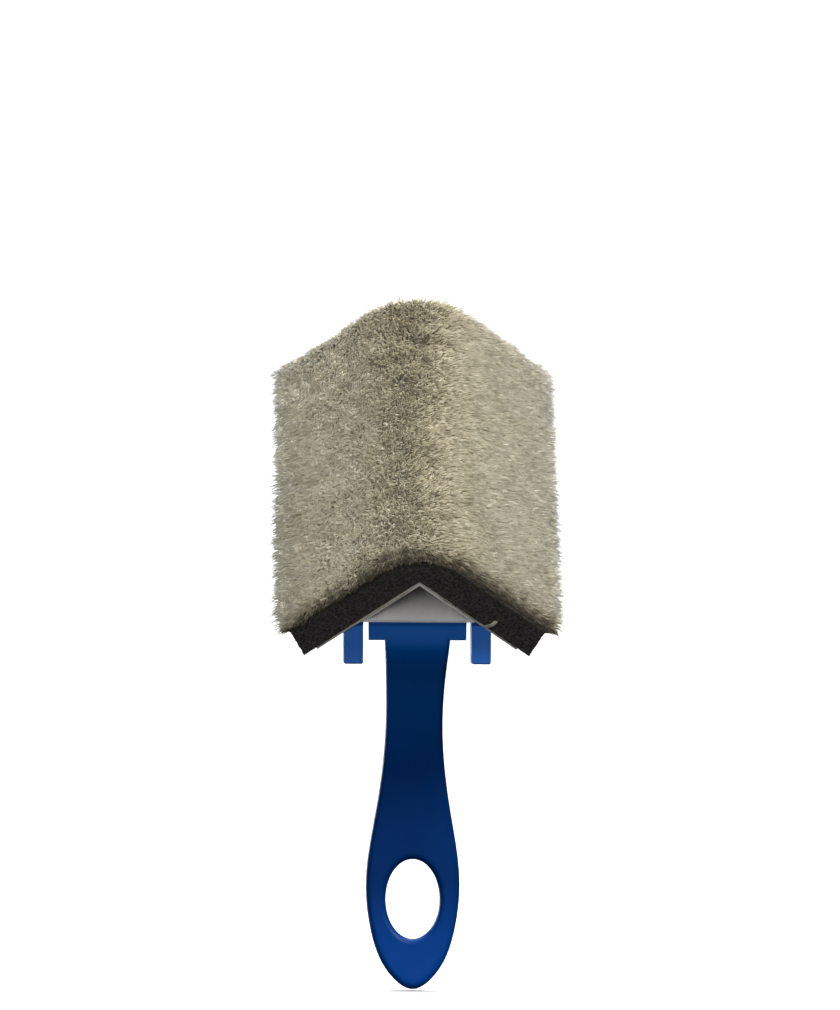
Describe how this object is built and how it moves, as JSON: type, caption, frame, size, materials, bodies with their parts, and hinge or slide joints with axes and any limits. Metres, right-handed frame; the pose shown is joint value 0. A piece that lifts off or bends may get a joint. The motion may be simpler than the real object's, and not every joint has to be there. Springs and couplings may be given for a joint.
{
  "type": "inside corner paint pad",
  "caption": "Hand tool for painting inside corners: a right-angled nap-and-foam pad, tilted on a moulded handle with an oval hang hole.",
  "frame": {"origin": "centre of the oval hang hole in the grip, midway through the grip's thickness", "axes": "+Z from the grip up to the pad, +X across the pad to the right of someone facing the nap, the nap faces -Y"},
  "size_m": [0.0822, 0.0955, 0.1912],
  "materials": {
    "nap": "short dense beige pile",
    "cloth": "woven cloth",
    "foam": "open-cell charcoal foam",
    "tape": "double-sided tape",
    "sheet": "smooth white sheet",
    "carrier": "extruded white plastic",
    "blue_plastic": "satin moulded blue"
  },
  "bodies": {
    "root": {"nap_pile": "nap", "pile_backing": "cloth", "foam_pad": "foam", "mounting_tape": "tape", "backing_sheet": "sheet", "corner_carrier": "carrier", "handle": "blue_plastic"}
  },
  "joints": []
}
